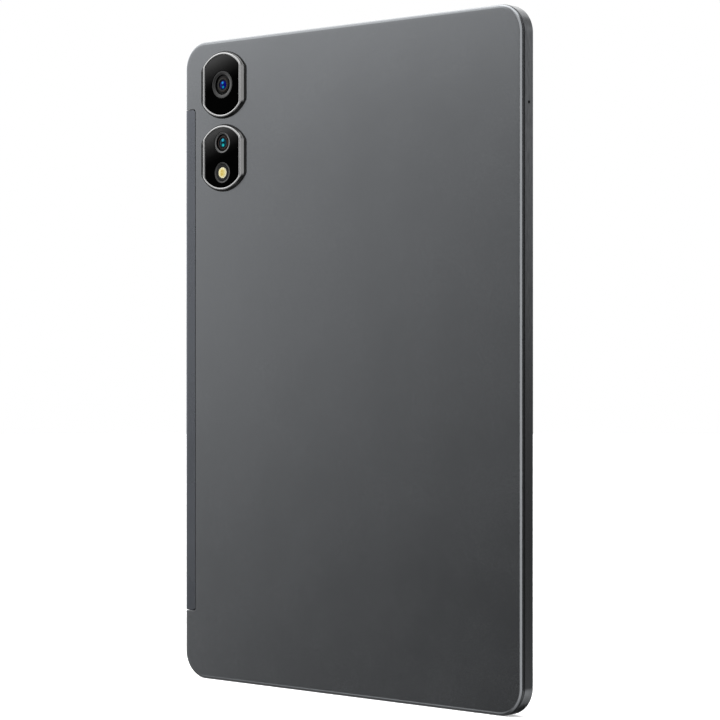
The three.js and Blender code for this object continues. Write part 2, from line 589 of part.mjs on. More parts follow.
function flashModule() {
  const { half, base, top, cup, floor, rim, seat } = FLASH;
  const body = block(CAMERA.x - half, CAMERA.x + half, base, top, flashZ - half, flashZ + half);
  const well = FLASH_LENS + 0.1;
  const round = turned(
    [[0, floor], [cup, floor], [cup, rim], [well, rim], [well, seat], [0, seat]], CAMERA.x, flashZ, 24,
  );
  return join(body, round);
}
add("flash_module", flashModule(), ...FINISH.blackPlastic);
add("flash_lens", domedLens(FLASH_LENS, flashZ, FLASH_DOME), ...FINISH.flashLens);

// Front camera, behind the cover glass in the left bezel --------------------------------------------------
function frontCamera() {
  const { x, inner, outer, y0, y1, barrel, front } = FRONT_CAMERA;
  const body = block(x - outer, x + inner, y0, y1, MIDDLE_Z - outer, MIDDLE_Z + outer);
  return join(body, peg(barrel, 0, front, x, MIDDLE_Z, 16));
}
add("front_camera_module", frontCamera(), ...FINISH.blackPlastic);

export default tablet;
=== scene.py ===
"""An 11-inch tablet computer seen from behind: fine meshes and procedural materials on the CAD frame."""

from collections import namedtuple
import math

import bpy
import bmesh
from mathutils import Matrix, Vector


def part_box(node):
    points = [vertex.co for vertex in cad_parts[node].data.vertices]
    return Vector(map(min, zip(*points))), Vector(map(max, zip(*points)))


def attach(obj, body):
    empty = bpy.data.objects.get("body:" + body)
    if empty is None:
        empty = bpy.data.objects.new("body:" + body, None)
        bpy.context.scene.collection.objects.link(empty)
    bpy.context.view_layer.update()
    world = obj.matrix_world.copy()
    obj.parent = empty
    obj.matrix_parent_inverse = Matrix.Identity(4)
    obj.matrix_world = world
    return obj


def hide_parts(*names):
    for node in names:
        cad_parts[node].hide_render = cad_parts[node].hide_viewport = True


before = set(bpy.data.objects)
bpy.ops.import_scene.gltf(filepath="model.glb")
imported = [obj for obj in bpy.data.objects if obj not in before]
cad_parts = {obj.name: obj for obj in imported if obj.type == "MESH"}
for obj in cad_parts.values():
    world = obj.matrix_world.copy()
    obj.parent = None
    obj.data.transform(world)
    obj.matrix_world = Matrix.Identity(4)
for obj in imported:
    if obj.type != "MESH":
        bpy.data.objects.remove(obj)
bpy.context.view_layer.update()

MM = 0.001

# Sizes that the frame's boxes don't give, in millimetres -----------------------------------------

# Housing and antenna strip
BODY_CORNER = 10.8  # corner radius of the outline
BACK_EDGE = 1.6  # rounding between the back and the side walls
BACK_BAND = 1.2  # flat band on the back beside that rounding
FRONT_CHAMFER = 0.3
WALL = 1.3
BACK_THICKNESS = 0.75
SOFT_EDGE = 0.08  # width of the small bevels on cut edges
WORN_EDGE = 0.9  # width of the polished band along the outer edges
STRIP_GAP = 0.31  # groove between the strip and the housing, wide enough to show as a line
STRIP_CORNER = 1.5
STRIP_OPEN = 5  # how far the strip's region runs past the left edge
PAST = 1  # how far a cutter runs past what it cuts
CUT_DEPTH = WALL + PAST  # of the cutters in the side walls

# Openings in the bottom, top and right edges
GRILLE_SLOTS, GRILLE_PITCH = 5, 3.6
GRILLE_WIDTH, GRILLE_HEIGHT = 2.6, 1.3
PORT_WIDTH, PORT_HEIGHT = 9.24, 3.46
MIC_RADIUS = 0.6

# Screen
GLASS_CORNER = 8.5
GLASS_EDGE = 0.35  # rounding of the cover glass in front
GLASS_BAND = 0.6  # flat band beside that rounding
GLASS_GAP = 0.1  # between the cover glass and its frame
BEZEL_CHAMFER = 0.12
BEZEL_WINDOW = (159, 247, 4)  # width, height and corner radius
DISPLAY_WIDTH, DISPLAY_HEIGHT = 149.6, 238.6
FRONT_EYE_X, FRONT_EYE_RADIUS = -78, 1.4

# Keys and card tray. A root is the hidden end of a cap, inside the flange or blade that carries it
KEY_CLEARANCE = 0.2
CAP_WIDTH = 2.2
POWER_CAP, VOLUME_CAP, TRAY_CAP = 15, 24, 18  # lengths
CAP_BEVEL, TRAY_BEVEL = 0.25, 0.12
POWER_FLANGE, VOLUME_FLANGE = 17, 26  # lengths
FLANGE_WIDTH, FLANGE_CORNER = 3, 0.4
POWER_ROOT_Z, POWER_FLANGE_Z = 255, 255.2
VOLUME_ROOT_X, VOLUME_FLANGE_X = -82.5, -82.8
TRAY_ROOT_X, TRAY_BLADE_X = -83, -83.2
BLADE_THICKNESS, BLADE_WIDTH, BLADE_CORNER, BLADE_Z = 0.9, 13.4, 0.2, 40
POCKET_LENGTH, POCKET_WIDTH, POCKET_CORNER = 9, 12.4, 0.6
POCKET_STARTS = (-81.4, -70.9)
PINHOLE_RADIUS, PINHOLE_Z, PINHOLE_DEPTH = 0.45, 48.6, 5

# Port
PORT_WALL = 0.3
CONTACTS, CONTACT_PITCH = 12, 0.5
CONTACT_WIDTH, CONTACT_DEPTH = 0.26, 0.04

# Camera islands: width, height and arc radius of each outline
BASE_OUTLINE = (24.7, 27.0, 14.45)
FOOT_OUTLINE = (22.5, 26.6, 13.3)
RIM_OUTLINE = (20.4, 25.6, 12.8)
GLASS_OUTLINE = (18.4, 24.0, 12.0)
HOLE_OUTLINE = (21.1, 25.1, 12.55)  # the opening in the housing
ISLAND_CORNER = 1.6
SEAT_Y = -2.4  # where the modules' square bodies begin, in the frame's y
FLANK_CHANGE = (7.0, 7.8)  # from the middle: where the straight sides end, and where the arcs begin

# Heights above the back face, which are negative inside the housing
TRIM_TOP = 1.25
GLASS_TOP = 1.15
BARREL_FLOOR = -1.3
LENS_HEIGHTS = (0.15, 0.3, 0.5)  # foot, edge and crown
FLASH_HEIGHTS = (0.35, 0.62, 1.15)

# Segments in a quarter turn of the large outlines, and across the back's rounding
CORNER_STEPS, EDGE_STEPS = 20, 12

# Colours and finishes ----------------------------------------------------------------------------

ANODISED = (0.125, 0.130, 0.136, 1)
ANODISED_ROUGHNESS = 0.26
REFLECTION_LEAN = Vector((-0.32, 0, 0.945))  # direction in which the painted reflection on the camera glass grows lighter
REFLECTION_FADE = 12  # millimetres from the middle of the glass to the end of that painted reflection's fade
FLASH_RIPPLES = 42  # radians of ripple from the middle of the flash's lens to its edge
THREAD_PITCH = 0.28  # millimetres
# emission strength of the painted reflection spots in the lenses: painted light, not a lamp
LENS_PAINTED_GLOW = 0.12

# Places of the CAD nodes, in millimetres ---------------------------------------------------------


def box_mm(node):
    low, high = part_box(node)
    return low / MM, high / MM


def centre_mm(node):
    low, high = box_mm(node)
    return (low + high) / 2


housing_low, housing_high = box_mm("rear_housing")
strip_low, strip_high = box_mm("antenna_strip")
glass_low, glass_high = box_mm("cover_glass")
WIDTH = housing_high.x - housing_low.x
HEIGHT = housing_high.z - housing_low.z
LEFT, RIGHT = housing_low.x, housing_high.x
MIDDLE_Z = HEIGHT / 2
BACK_Y, RIM_Y = housing_low.y, housing_high.y
FRONT_Y = glass_high.y
PORT_Y = centre_mm("usb_c_shell").y
POWER_X = centre_mm("power_button").x
VOLUME_Z = centre_mm("volume_rocker").z
TRAY_Y, TRAY_Z = centre_mm("card_tray").yz
UPPER = centre_mm("camera_base_upper")
LOWER = centre_mm("camera_base_lower")

# Each eye of the islands: its centre, the radii of its hole in the glass, its ring, the ring's bore and its
# lens, and half the side of its module's square body
Eye = namedtuple("Eye", "at hole ring bore lens seat")
MAIN = Eye(centre_mm("main_lens_element"), hole=5.65, ring=5.5, bore=4.02, lens=1.75, seat=5.2)
SECOND = Eye(centre_mm("second_lens_element"), hole=4.35, ring=4.22, bore=3.4, lens=1.9, seat=4.2)
FLASH = Eye(centre_mm("flash_lens"), hole=4.35, ring=4.22, bore=3.4, lens=2.2, seat=3.4)


# Outlines: anticlockwise lists of points -------------------------------------------------------


def quarter(steps):
    """The angles of a quarter turn, from 0, in equal steps."""
    return [math.pi / 2 * i / steps for i in range(steps + 1)]


def arc(cx, cy, radius, start, end, steps):
    turns = [start + (end - start) * i / steps for i in range(steps + 1)]
    return [(cx + radius * math.cos(t), cy + radius * math.sin(t)) for t in turns]


def rounded_rect(width, height, radius, cx=0.0, cy=0.0, steps=CORNER_STEPS):
    x = width / 2 - radius
    y = height / 2 - radius
    points = []
    for i, (dx, dy) in enumerate(((x, -y), (x, y), (-x, y), (-x, -y))):
        start = (i - 1) * math.pi / 2
        points += arc(cx + dx, cy + dy, radius, start, start + math.pi / 2, steps)
    return points


def stadium(width, height, cx, cy, steps=8):
    tip = 0.02  # the straight left at the middle of each round end
    return rounded_rect(width, height, min(width, height) / 2 - tip, cx, cy, steps)


def circle(radius, cx, cy, steps=48):
    return arc(cx, cy, radius, 0, 2 * math.pi, steps)[:-1]


def slot_shape(width, height, cx, cy, steps=8):
    """A function of how much larger the outline is all round, as mouth and bevelled take it."""
    return lambda grow: stadium(width + 2 * grow, height + 2 * grow, cx, cy, steps)


def hole_shape(radius, cx, cy):
    return lambda grow: circle(radius + grow, cx, cy, 32)


def grown(outline, by):
    """An island's outline made larger by that much all round."""
    wide, high, radius = outline
    return wide + 2 * by, high + 2 * by, radius + by


def island(outline, cx, cz, steps=10):
    """Two arcs of one radius joined by straight sides, with rounded corners where they meet."""
    wide, high, radius = outline
    centre = high / 2 - radius
    corner_x = wide / 2 - ISLAND_CORNER
    corner_z = centre + math.sqrt((radius - ISLAND_CORNER) ** 2 - corner_x**2)
    turn = math.atan2(corner_z - centre, corner_x)
    half, whole = math.pi, 2 * math.pi
    points = arc(cx + corner_x, cz + corner_z, ISLAND_CORNER, 0, turn, steps)
    points += arc(cx, cz + centre, radius, turn, half - turn, 4 * steps)
    points += arc(cx - corner_x, cz + corner_z, ISLAND_CORNER, half - turn, half, steps)
    points += arc(cx - corner_x, cz - corner_z, ISLAND_CORNER, half, half + turn, steps)
    points += arc(cx, cz - centre, radius, half + turn, whole - turn, 4 * steps)
    points += arc(cx + corner_x, cz - corner_z, ISLAND_CORNER, whole - turn, whole, steps)
    return points


# Meshes ------------------------------------------------------------------------------------------

# The point at place (a, b) of an outline that stands across an axis, at a distance along it
ALONG = {
    "x": lambda at, a, b: (at, a, b),
    "y": lambda at, a, b: (a, at, b),
    "z": lambda at, a, b: (a, b, at),
}


def loft(axis, rings, closed=False):
    """Skins rings, given as (outline, place along the axis). A closed one joins its last to its first."""
    mesh = bmesh.new()
    loops = []
    for outline, at in rings:
        loops.append([mesh.verts.new(Vector(ALONG[axis](at, a, b)) * MM) for a, b in outline])
    pairs = list(zip(loops, loops[1:]))
    if closed:
        pairs.append((loops[-1], loops[0]))
    else:
        mesh.faces.new(loops[0])
        mesh.faces.new(loops[-1])
    count = len(loops[0])
    for low, high in pairs:
        for i in range(count):
            j = (i + 1) % count
            mesh.faces.new((low[i], low[j], high[j], high[i]))
    bmesh.ops.remove_doubles(mesh, verts=mesh.verts, dist=1e-7)
    bmesh.ops.recalc_face_normals(mesh, faces=mesh.faces)
    return mesh


def prism(axis, outline, start, end):
    return loft(axis, [(outline, start), (outline, end)])


def bevelled(axis, shape, start, end, bevel, steps=3):
    """A plate with rounded edges. shape(grow) gives its outline, larger by that much all round."""
    rings = []
    for turn in quarter(steps):
        rings.append((shape(-bevel * (1 - math.sin(turn))), start + bevel * (1 - math.cos(turn))))
    rings += [(outline, start + end - at) for outline, at in reversed(rings)]
    return loft(axis, rings)


def block(low, high):
    outline = [(low[0], low[1]), (high[0], low[1]), (high[0], high[1]), (low[0], high[1])]
    return loft("z", [(outline, low[2]), (outline, high[2])])


def turned(profile, at, closed=False, steps=96):
    """Turns (radius, height above the back face) points round the axis through a point."""
    rings = [(circle(radius, at.x, at.z, steps), BACK_Y - height) for radius, height in profile]
    return loft("y", rings, closed)


def turned_solid(profile, at, steps=96):
    """Turns a profile that starts and ends on the axis."""
    return turned([(max(radius, 0.0005), height) for radius, height in profile], at, steps=steps)


def merged(shapes):
    whole = bmesh.new()
    for shape in shapes:
        part = bpy.data.meshes.new("part")
        shape.to_mesh(part)
        shape.free()
        whole.from_mesh(part)
        bpy.data.meshes.remove(part)
    return whole


def plain_object(name, shape):
    data = bpy.data.meshes.new(name)
    shape.to_mesh(data)
    shape.free()
    made = bpy.data.objects.new(name, data)
    bpy.context.scene.collection.objects.link(made)
    return made


def settle(made):
    """Makes an object's modifiers part of its mesh."""
    graph = bpy.context.evaluated_depsgraph_get()
    final = bpy.data.meshes.new_from_object(made.evaluated_get(graph))
    made.modifiers.clear()
    old = made.data
    made.data = final
    bpy.data.meshes.remove(old)
    final.name = made.name


def combined(made, operation, shapes):
    """Cuts shapes out of an object, joins them to it, or keeps what they share."""
    tool = plain_object("tool", merged(shapes))
    modifier = made.modifiers.new("combine", "BOOLEAN")
    modifier.operation = operation
    modifier.solver = "EXACT"
    modifier.object = tool
    settle(made)
    bpy.data.objects.remove(tool)


def finish_piece(made, look, replaced, body="tablet", sharp=35):
    """Gives an object its material and smooth shading, and tells the frame which body carries it."""
    made.data.materials.clear()
    made.data.materials.append(look)
    made.data.polygons.foreach_set("use_smooth", [True] * len(made.data.polygons))
    made.data.set_sharp_from_angle(angle=math.radians(sharp))
    weighted = made.modifiers.new("normals", "WEIGHTED_NORMAL")
    weighted.keep_sharp = True
    weighted.weight = 80
    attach(made, body)
    if replaced:
        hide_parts(*replaced)


def piece(name, shape, look, replaced=(), body="tablet", sharp=35):
    finish_piece(plain_object(name, shape), look, replaced, body, sharp)


# Node trees --------------------------------------------------------------------------------------


class Nodes:
    """A shader node tree whose nodes are built one after another."""

    def __init__(self, tree):
        self.nodes = tree.nodes
        self.links = tree.links

    def make(self, kind, *inputs, **settings):
        made = self.nodes.new("ShaderNode" + kind)
        for name, value in settings.items():
            setattr(made, name, value)
        for index, value in enumerate(inputs):
            self.feed(made.inputs[index], value)
        return made

    def node(self, kind, *inputs, **settings):
        return self.make(kind, *inputs, **settings).outputs[0]

    def feed(self, socket, value):
        if isinstance(value, bpy.types.NodeSocket):
            self.links.new(value, socket)
        else:
            socket.default_value = value

    def calculate(self, operation, *inputs):
        return self.node("Math", *inputs, operation=operation)

    def span(self, value, low, high, first=0.0, last=1.0):
        """Maps low to high onto first to last, and holds the ends."""
        return self.node("MapRange", value, low, high, first, last)

    def axes(self, vector):
        """The x, y and z of a vector."""
        return self.make("SeparateXYZ", vector).outputs

    def ramp(self, factor, stops, interpolation="LINEAR"):
        made = self.make("ValToRGB", factor)
        made.color_ramp.interpolation = interpolation
        elements = made.color_ramp.elements
        while len(elements) < len(stops):
            elements.new(1.0)
        for element, (at, colour) in zip(elements, stops):
            element.position = at
            element.color = colour
        return made.outputs[0]


class Look(Nodes):
    """A material."""

    def __init__(self, name, **constants):
        self.material = bpy.data.materials.new(name)
        self.material.use_nodes = True
        super().__init__(self.material.node_tree)
        self.shader = self.nodes["Principled BSDF"]
        for socket, value in constants.items():
            self.shader.inputs[socket.replace("_", " ")].default_value = value
        self.place = self.make("TexCoord").outputs["Object"]

    def set(self, name, value):
        self.feed(self.shader.inputs[name], value)

    def noise(self, size, detail=2.0, stretch=(1, 1, 1)):
        """Noise whose features are about size millimetres across."""
        scale = tuple(share / (size * MM) for share in stretch)
        made = self.make("TexNoise", self.node("VectorMath", self.place, scale, operation="MULTIPLY"))
        made.inputs["Scale"].default_value = 1.0
        made.inputs["Detail"].default_value = detail
        return made.outputs[0]

    def between(self, factor, low, high):
        """Maps a noise value's usual span, 0.3 to 0.7, to low and high."""
        return self.span(factor, 0.3, 0.7, low, high)

    def mix(self, factor, first, second):
        made = self.make("Mix", data_type="RGBA")
        self.feed(made.inputs["Factor"], factor)
        colours = [socket for socket in made.inputs if socket.type == "RGBA"]
        self.feed(colours[0], first)
        self.feed(colours[1], second)
        return next(socket for socket in made.outputs if socket.type == "RGBA")

    def varied(self, factor, colour, low, high):
        """A colour times low where the factor is 0, and times high where it is 1."""
        return self.mix(factor, scaled_colour(colour, low), scaled_colour(colour, high))

    def bump(self, height, depth, strength=1.0):
        """Bump whose full height is depth millimetres."""
        made = self.make("Bump")
        made.inputs["Strength"].default_value = strength
        made.inputs["Distance"].default_value = depth * MM
        self.feed(made.inputs["Height"], height)
        self.set("Normal", made.outputs[0])

    def offset(self, point):
        """The place as seen from a point in millimetres, in metres."""
        return self.node("VectorMath", self.place, tuple(point * MM), operation="SUBTRACT")

    def radius_from(self, centre):
        """Distance in the plane of the back from a point in millimetres, in millimetres."""
        flat = self.node("VectorMath", self.offset(centre), (1 / MM, 0, 1 / MM), operation="MULTIPLY")
        return self.make("VectorMath", flat, operation="LENGTH").outputs["Value"]

    def from_middle(self):
        """Distances from the middle of the body, across it and along it, in metres."""
        x, _, z = self.axes(self.place)
        up = self.calculate("SUBTRACT", z, MIDDLE_Z * MM)
        return self.calculate("ABSOLUTE", x), self.calculate("ABSOLUTE", up)


def grey(value):
    return (value, value, value, 1)


def scaled_colour(colour, factor):
    return tuple(channel * factor for channel in colour[:3]) + (1,)


# Materials ---------------------------------------------------------------------------------------


def surface(name, colour, roughness, grain, depth, change=0.06, polish=0.04, **constants):
    """Fine grain in colour and height, with slow changes of roughness as handling leaves."""
    look = Look(name, **constants)
    fine = look.noise(grain, 3)
    slow = look.noise(150 * grain, 3)
    look.set("Base Color", look.varied(look.between(fine, 0.0, 1.0), colour, 1 - change, 1 + change))
    look.set("Roughness", look.between(slow, roughness - polish, roughness + polish))
    look.bump(fine, depth)
    return look.material


def brushed(name, colour, roughness, grain, depth, stretch):
    """Metal drawn or brushed along one direction."""
    look = Look(name, Metallic=1.0)
    lines = look.noise(grain, 4, stretch)
    look.set("Base Color", look.varied(lines, colour, 0.8, 1.15))
    look.set("Roughness", look.between(lines, roughness * 0.8, roughness * 1.25))
    look.bump(lines, depth)
    return look.material


def anodised_metal(name, colour):
    """Fine bead-blasted anodised aluminium, polished a little by handling along its edges."""
    look = Look(name, Metallic=1.0)
    grain = look.noise(0.12, 2)
    cloud = look.noise(30, 3)
    scuffs = look.noise(0.6, 4, (1, 1, 0.15))
    across, along = look.from_middle()
    side = look.span(across, (RIGHT - WORN_EDGE) * MM, RIGHT * MM)
    end = look.span(along, (MIDDLE_Z - WORN_EDGE) * MM, MIDDLE_Z * MM)
    edge = look.calculate("MAXIMUM", side, end)
    rubbed = look.calculate("MULTIPLY", edge, look.between(scuffs, 0.0, 1.0))
    speckled = look.varied(look.between(grain, 0.0, 1.0), colour, 0.93, 1.07)
    clouded = look.varied(look.between(cloud, 0.0, 1.0), colour, 0.98, 1.02)
    look.set("Base Color", look.mix(rubbed, look.mix(0.5, speckled, clouded), scaled_colour(colour, 1.25)))
    slow = look.between(cloud, ANODISED_ROUGHNESS - 0.008, ANODISED_ROUGHNESS + 0.008)
    fine = look.calculate("ADD", look.between(grain, -0.02, 0.02), slow)
    look.set("Roughness", look.calculate("SUBTRACT", fine, look.calculate("MULTIPLY", rubbed, 0.06)))
    look.bump(grain, 0.0012)
    return look.material


def black_glass(name, middle):
    """Black-backed glass with a painted reflection that lightens it to smoke grey towards the upper left.
    """
    look = Look(name, IOR=1.5, Specular_IOR_Level=0.005)
    lean = look.make("VectorMath", look.offset(middle), REFLECTION_LEAN / MM, operation="DOT_PRODUCT")
    # Levels of painted reflection over the black print, from the middle of the glass towards the upper left
    fade = [(0.0, 0.0001), (0.2, 0.001), (0.45, 0.0048), (0.64, 0.0105), (0.9, 0.022)]
    share = look.span(lean.outputs["Value"], 0.0, REFLECTION_FADE)
    painted_reflection = look.ramp(share, [(at, grey(level)) for at, level in fade])
    dust = look.between(look.noise(0.4, 2), 0.0, 0.001)
    look.set("Base Color", look.mix(dust, painted_reflection, grey(0.08)))
    smudge = look.noise(14, 4)
    look.set("Roughness", look.between(smudge, 0.03, 0.09))
    look.bump(smudge, 0.0004)
    return look.material


def screen_glass(name):
    """Cover glass over a black printed border, a switched-off display and the front camera's window."""
    look = Look(name, IOR=1.5)
    across, along = look.from_middle()
    half_width, half_height = DISPLAY_WIDTH / 2 * MM, DISPLAY_HEIGHT / 2 * MM
    soft = 0.03 * MM
    beside = look.span(across, half_width, half_width + soft, 1.0, 0.0)
    above = look.span(along, half_height, half_height + soft, 1.0, 0.0)
    display = look.calculate("MULTIPLY", beside, above)
    cloud = look.between(look.noise(40, 2), 0.0, 1.0)
    panel = look.mix(cloud, (0.0058, 0.0062, 0.0072, 1), (0.0075, 0.0080, 0.0092, 1))
    behind_glass = look.mix(display, grey(0.0016), panel)
    eye = centre_mm("front_camera_module")
    eye.x = FRONT_EYE_X
    radius = look.radius_from(eye)
    window = look.span(radius, FRONT_EYE_RADIUS - 0.05, FRONT_EYE_RADIUS, 1.0, 0.0)
    iris = look.ramp(
        look.calculate("DIVIDE", radius, FRONT_EYE_RADIUS),
        [
            (0.0, (0.001, 0.001, 0.004, 1)), (0.32, (0.004, 0.006, 0.030, 1)),
            (0.5, (0.012, 0.010, 0.040, 1)), (0.62, grey(0.002)), (1.0, grey(0.006)),
        ],
    )
    look.set("Base Color", look.mix(window, behind_glass, iris))
    look.set("Roughness", look.between(look.noise(22, 5), 0.02, 0.075))
    look.bump(look.noise(60, 1), 0.0008)
    return look.material


def spun_metal(name, centre, colour, roughness):
    """Metal turned on a lathe: brushed round its axis, so that highlights stretch across the rings."""
    look = Look(name, Metallic=1.0, Anisotropic=0.75)
    rings = look.make("TexNoise", noise_dimensions="1D")
    look.feed(rings.inputs["W"], look.radius_from(centre))
    rings.inputs["Scale"].default_value = 18
    rings.inputs["Detail"].default_value = 3
    grooves = rings.outputs[0]
    look.set("Base Color", look.varied(grooves, colour, 0.75, 1.2))
    look.set("Roughness", look.between(grooves, roughness * 0.85, roughness * 1.2))
    look.set("Tangent", look.node("Tangent", direction_type="RADIAL", axis="Y"))
    look.bump(grooves, 0.002)
    return look.material


def trim_metal(name, middle):
    """Diamond-cut trim: a light polished rim over flanks, which are satin along the sides and painted dark
    at the arcs.

    The dark at the arcs is painted shade, streaked with painted reflection, and the rim's extra lightness
    there is a painted highlight.
    """
    look = Look(name, Metallic=1.0)
    _, y, z = look.axes(look.offset(middle))
    straight_end, arc_start = FLANK_CHANGE
    arcs = look.span(look.calculate("ABSOLUTE", z), straight_end * MM, arc_start * MM)
    top = TRIM_TOP - (BACK_Y - middle.y)
    rim = look.span(look.calculate("MULTIPLY", y, -1.0), (top - 0.12) * MM, (top - 0.06) * MM)
    lines = look.between(look.noise(0.1, 3, (0.3, 1, 0.3)), 0.0, 1.0)
    # A streak pattern for the painted reflection on the flanks at the arcs
    painted_reflection_streaks = look.between(look.noise(0.5, 2, (0.15, 2.5, 0.15)), 0.0, 1.0)
    satin = look.mix(lines, grey(0.12), grey(0.165))
    # Painted light: the flanks are painted dark at the arcs as shade, and the rim is painted lighter there
    # as a highlight
    dark = look.mix(painted_reflection_streaks, grey(0.015), grey(0.10))
    rim_polish_and_highlight = look.mix(arcs, grey(0.20), grey(0.28))
    look.set("Base Color", look.mix(rim, look.mix(arcs, satin, dark), rim_polish_and_highlight))
    flank_roughness = look.span(arcs, 0.0, 1.0, 0.5, 0.3)
    look.set("Roughness", look.span(rim, 0.0, 1.0, flank_roughness, 0.22))
    look.bump(lines, 0.0006)
    return look.material


def barrel_plastic(name, eye, core, edge_colour):
    """Black plastic, with a tinted rim round the core and a dark grey slope from there to the lens."""
    look = Look(name, Specular_IOR_Level=0.06)
    lens, bore = eye.lens, eye.bore
    reach = bore + 1
    stops = [
        (0.0, grey(0.0005)), (lens + 0.08, grey(0.001)), (lens + 0.3, grey(0.003)),
        (lens + 0.5, grey(0.008)), (core - 0.14, grey(0.009)), (core - 0.08, edge_colour),
        (core + 0.02, edge_colour), (core + 0.1, grey(0.0008)), (bore, grey(0.0005)),
    ]
    share = look.calculate("DIVIDE", look.radius_from(eye.at), reach)
    look.set("Base Color", look.ramp(share, [(radius / reach, colour) for radius, colour in stops]))
    look.set("Roughness", look.between(look.noise(0.3, 2), 0.28, 0.42))
    look.bump(look.noise(0.1, 2), 0.001)
    return look.material


def coated_lens(name, eye, stops, painted_reflections):
    """Rings of coating colour, with spots of painted reflection that also give off light, though no lamp is
    there.

    stops are (share of the radius, colour), and the painted spots are (place in radii, colour, size in
    radii).
    """
    look = Look(name, IOR=1.5, Specular_IOR_Level=0.03)
    colour = look.ramp(look.calculate("DIVIDE", look.radius_from(eye.at), eye.lens), stops)
    # Each spot is a painted reflection, mixed into the colour and given off as emission
    painted_glow = grey(0.0)
    for (x, z), tint, size in painted_reflections:
        place = eye.at + Vector((x, 0, z)) * eye.lens
        away = look.calculate("DIVIDE", look.radius_from(place), eye.lens * size)
        mask = look.span(away, 0.2, 1.0, 1.0, 0.0)
        colour = look.mix(mask, colour, tint)
        painted_glow = look.mix(mask, painted_glow, tint)
    look.set("Base Color", colour)
    look.set("Emission Color", painted_glow)
    look.shader.inputs["Emission Strength"].default_value = LENS_PAINTED_GLOW
    look.set("Roughness", look.between(look.noise(0.5, 2), 0.034, 0.046))
    look.bump(look.noise(0.4, 1), 0.0002)
    return look.material


def flash_diffuser(name, eye):
    """A cream moulded lens over two yellow emitters, one above the other."""
    look = Look(name, IOR=1.5, Specular_IOR_Level=0.2)
    out = look.calculate("DIVIDE", look.radius_from(eye.at), eye.lens)
    colour = look.ramp(
        out,
        [
            (0.0, (0.27, 0.22, 0.06, 1)), (0.55, (0.30, 0.25, 0.09, 1)),
            (0.82, (0.34, 0.31, 0.17, 1)), (1.0, (0.36, 0.34, 0.26, 1)),
        ],
    )
    for step in (-0.3, 0.3):
        place = eye.at + Vector((0, 0, step)) * eye.lens
        away = look.calculate("DIVIDE", look.radius_from(place), eye.lens * 0.3)
        colour = look.mix(look.span(away, 0.6, 1.0, 1.0, 0.0), colour, (0.25, 0.18, 0.03, 1))
    look.set("Base Color", colour)
    look.set("Roughness", look.between(look.noise(0.3, 2), 0.18, 0.32))
    ripples = look.calculate("SINE", look.calculate("MULTIPLY", out, FLASH_RIPPLES))
    look.bump(ripples, 0.01, 0.5)
    return look.material


def cloth(name):
    """Fine woven acoustic cloth."""
    look = Look(name)
    turns = 2 * math.pi / (THREAD_PITCH * MM)
    x, y, _ = look.axes(look.node("VectorMath", look.place, (turns, turns, 0), operation="MULTIPLY"))
    weave = look.calculate("MULTIPLY", look.calculate("SINE", x), look.calculate("SINE", y))
    look.set("Base Color", look.mix(look.span(weave, -1.0, 1.0), grey(0.006), grey(0.05)))
    look.set("Roughness", look.between(look.noise(0.3), 0.75, 0.95))
    look.bump(weave, 0.05)
    return look.material


anodised = anodised_metal("anodised_metal", ANODISED)
strip_plastic = surface("antenna_plastic", (0.073, 0.078, 0.088, 1), 0.27, 0.15, 0.002, Metallic=0.92)
matt_black = surface("black_plastic", grey(0.007), 0.42, 0.12, 0.003, 0.3)
ledge_black = surface("island_ledge", grey(0.002), 0.4, 0.1, 0.001, 0.3, Specular_IOR_Level=0.1)
steel = brushed("steel", (0.52, 0.53, 0.55, 1), 0.3, 0.2, 0.002, (1, 1, 0.1))
gold = brushed("gold", (0.83, 0.61, 0.24, 1), 0.25, 0.1, 0.001, (1, 1, 0.2))
screen = screen_glass("cover_glass")

# Housing and antenna strip -----------------------------------------------------------------------


def body_outline(inset):
    return rounded_rect(WIDTH - 2 * inset, HEIGHT - 2 * inset, BODY_CORNER - inset, 0, MIDDLE_Z)


def shell():
    """A tray: rounded between its back and sides, chamfered at its front edge."""
    rings = [(BACK_EDGE + BACK_BAND, BACK_Y)]
    for turn in quarter(EDGE_STEPS):
        rings.append((BACK_EDGE * (1 - math.sin(turn)), BACK_Y + BACK_EDGE * (1 - math.cos(turn))))
    rings += [(0, RIM_Y - FRONT_CHAMFER), (FRONT_CHAMFER, RIM_Y)]
    rings += [(WALL, RIM_Y), (WALL, BACK_Y + BACK_THICKNESS)]
    return loft("y", [(body_outline(inset), y) for inset, y in rings])


def strip_region(grow):
    """The antenna strip's region, open past the left edge. With grow it is a cutter, wider by that much."""

    def outline(more):
        low_x = LEFT - STRIP_OPEN
        high_x = strip_high.x + grow + more
        length = strip_high.z - strip_low.z + 2 * (grow + more)
        return rounded_rect(high_x - low_x, length, STRIP_CORNER, (low_x + high_x) / 2, MIDDLE_Z, 6)

    bevel = 2 * SOFT_EDGE if grow else -2 * SOFT_EDGE
    rings = [(bevel, BACK_Y - SOFT_EDGE), (0, BACK_Y + SOFT_EDGE), (0, RIM_Y + PAST)]
    return loft("y", [(outline(more), y) for more, y in rings])


def mouth(axis, shape, surface_at, depth):
    """A cutter that widens at the surface. Its depth's sign points inwards."""
    inward = math.copysign(SOFT_EDGE, depth)
    rings = [(2 * SOFT_EDGE, surface_at - inward), (0, surface_at + inward), (0, surface_at + depth)]
    return loft(axis, [(shape(grow), at) for grow, at in rings])


def opening(cap_shape):
    """The slot round a cap that moves in it."""
    return lambda grow: cap_shape(KEY_CLEARANCE + grow)


power_shape = slot_shape(POWER_CAP, CAP_WIDTH, POWER_X, PORT_Y)
volume_shape = slot_shape(CAP_WIDTH, VOLUME_CAP, PORT_Y, VOLUME_Z)
tray_shape = slot_shape(CAP_WIDTH, TRAY_CAP, TRAY_Y, TRAY_Z)


